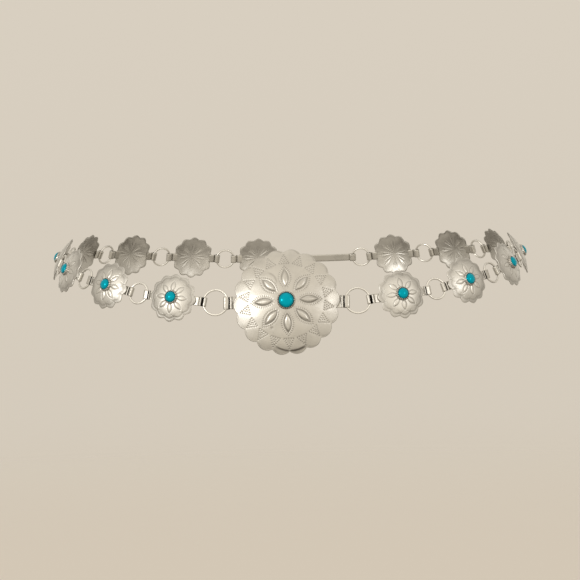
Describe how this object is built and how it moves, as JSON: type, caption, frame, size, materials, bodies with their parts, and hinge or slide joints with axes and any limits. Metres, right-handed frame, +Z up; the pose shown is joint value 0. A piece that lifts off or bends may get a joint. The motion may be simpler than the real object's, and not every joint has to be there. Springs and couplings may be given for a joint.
{
  "type": "concho belt",
  "caption": "Silver-tone concho belt worn round the hips: a large scalloped concho in front, small domed conchos with turquoise cabochons, wire rings and a plain back hook.",
  "frame": {"origin": "middle of the loop, in the middle of the hips that it is worn on, between the height of its front and its back", "axes": "+X to the right as seen from the front, -Y towards the viewer of the large concho, +Z up along the wearer"},
  "size_m": [0.3062, 0.2427, 0.0675],
  "materials": {
    "silver_metal": "satin silver-tone metal, stamped, lightly scratched",
    "turquoise_stone": "polished teal turquoise cabochon"
  },
  "bodies": {
    "root": {"back_hook": "silver_metal", "big_concho": "silver_metal", "big_ring_left": "silver_metal", "big_ring_right": "silver_metal", "big_stone": "turquoise_stone", "small_concho_left_1": "silver_metal", "small_concho_left_2": "silver_metal", "small_concho_left_3": "silver_metal", "small_concho_left_4": "silver_metal", "small_concho_left_5": "silver_metal", "small_concho_left_6": "silver_metal", "small_concho_left_7": "silver_metal", "small_concho_left_8": "silver_metal", "small_concho_right_1": "silver_metal", "small_concho_right_2": "silver_metal", "small_concho_right_3": "silver_metal", "small_concho_right_4": "silver_metal", "small_concho_right_5": "silver_metal", "small_concho_right_6": "silver_metal", "small_concho_right_7": "silver_metal", "small_ring_left_1": "silver_metal", "small_ring_left_2": "silver_metal", "small_ring_left_3": "silver_metal", "small_ring_left_4": "silver_metal", "small_ring_left_5": "silver_metal", "small_ring_left_6": "silver_metal", "small_ring_left_7": "silver_metal", "small_ring_left_8": "silver_metal", "small_ring_right_1": "silver_metal", "small_ring_right_2": "silver_metal", "small_ring_right_3": "silver_metal", "small_ring_right_4": "silver_metal", "small_ring_right_5": "silver_metal", "small_ring_right_6": "silver_metal", "small_ring_right_7": "silver_metal", "small_stone_left_1": "turquoise_stone", "small_stone_left_2": "turquoise_stone", "small_stone_left_3": "turquoise_stone", "small_stone_left_4": "turquoise_stone", "small_stone_left_5": "turquoise_stone", "small_stone_left_6": "turquoise_stone", "small_stone_left_7": "turquoise_stone", "small_stone_left_8": "turquoise_stone", "small_stone_right_1": "turquoise_stone", "small_stone_right_2": "turquoise_stone", "small_stone_right_3": "turquoise_stone", "small_stone_right_4": "turquoise_stone", "small_stone_right_5": "turquoise_stone", "small_stone_right_6": "turquoise_stone", "small_stone_right_7": "turquoise_stone"}
  },
  "joints": []
}
